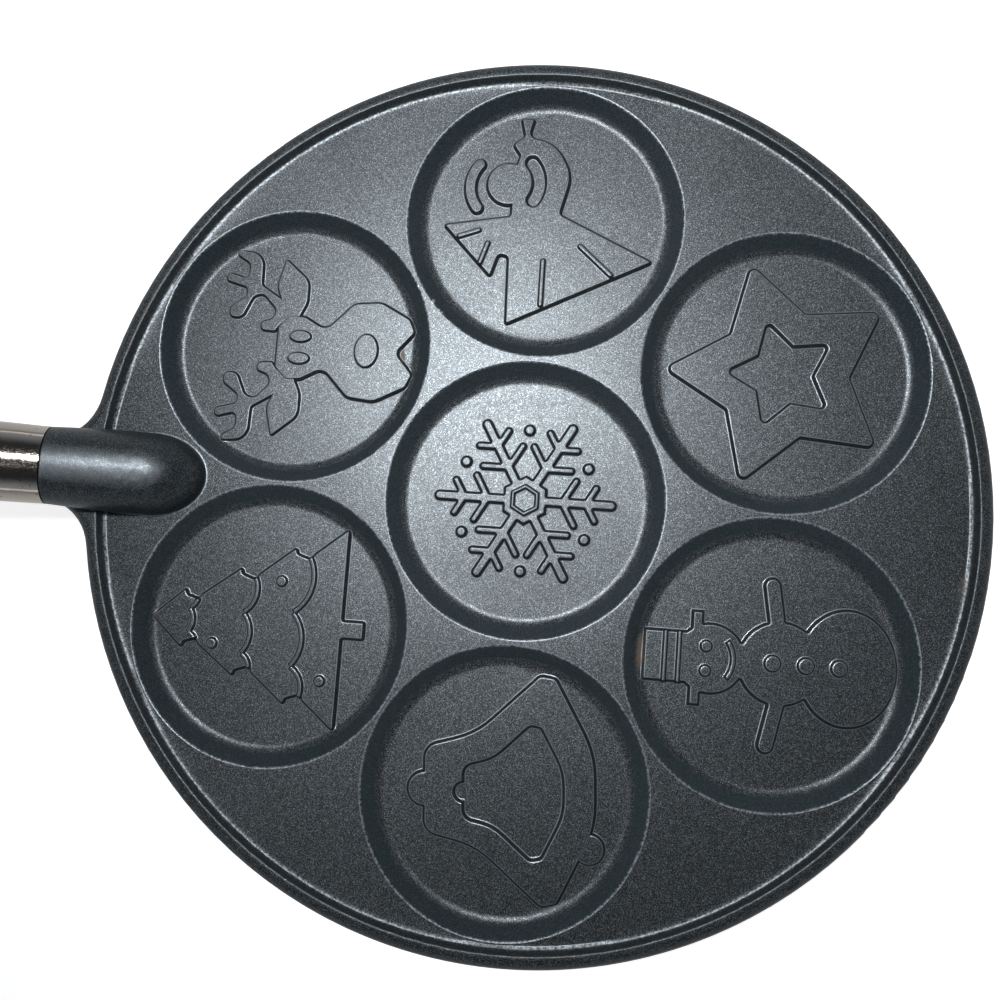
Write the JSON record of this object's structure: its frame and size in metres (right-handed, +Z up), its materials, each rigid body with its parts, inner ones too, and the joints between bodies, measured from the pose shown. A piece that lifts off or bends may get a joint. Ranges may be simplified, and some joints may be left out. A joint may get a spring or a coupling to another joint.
{
  "type": "pancake pan",
  "caption": "Round cast pancake pan with shallow round wells that hold relief figures, a raised rim and a screwed-on moulded handle.",
  "frame": {"origin": "centre of the round pan, on the plane that the bottoms of the wells stand on", "axes": "+Z up, out of the pan's cooking side; the handle points along -X and rises away from the pan"},
  "size_m": [0.4472, 0.266, 0.0617],
  "materials": {
    "coated_casting": "dark speckled non-stick coating",
    "polished_steel": "polished",
    "moulded_grip": "satin phenolic moulding",
    "screw_steel": "bright zinc plated"
  },
  "bodies": {
    "root": {"pan": "coated_casting", "flame_guard": "polished_steel", "grip": "moulded_grip", "handle_screw": "screw_steel", "flat_washer": "screw_steel", "lock_washer": "screw_steel"}
  },
  "joints": []
}
